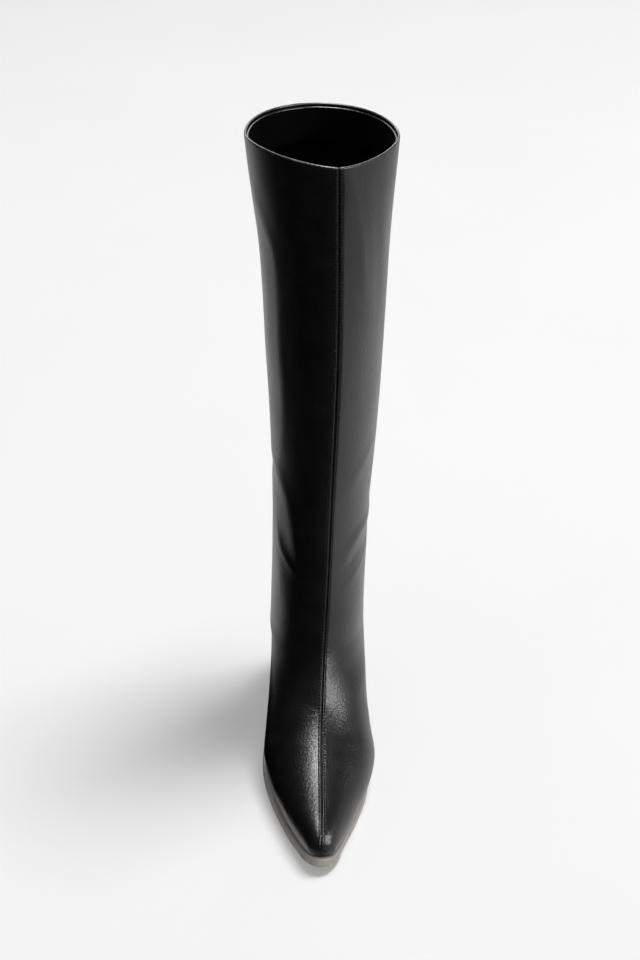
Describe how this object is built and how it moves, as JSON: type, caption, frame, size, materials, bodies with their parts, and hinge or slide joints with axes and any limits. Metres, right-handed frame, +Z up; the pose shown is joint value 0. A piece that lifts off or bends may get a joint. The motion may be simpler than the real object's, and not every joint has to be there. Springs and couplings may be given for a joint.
{
  "type": "knee-high boot",
  "caption": "Knee-high leather boot with a softly pointed toe, centre front seam, smooth open shaft, light rubber sole edge and block heel, wearer's left",
  "frame": {"origin": "on the floor under the middle of the heel", "axes": "+Z up along the shaft, -Y towards the toe, -X the medial side"},
  "size_m": [0.1034, 0.262, 0.4816],
  "materials": {
    "upper_leather": "black smooth leather, satin, with a fine grain",
    "insole_leather": "black lining leather, matt",
    "sole_rubber": "dark brown rubber with a satin edge",
    "heel_cover": "black, satin",
    "tip_rubber": "black, matt"
  },
  "bodies": {
    "root": {"upper": "upper_leather", "insole": "insole_leather", "outsole": "sole_rubber", "heel_block": "heel_cover", "heel_tip": "tip_rubber"}
  },
  "joints": []
}
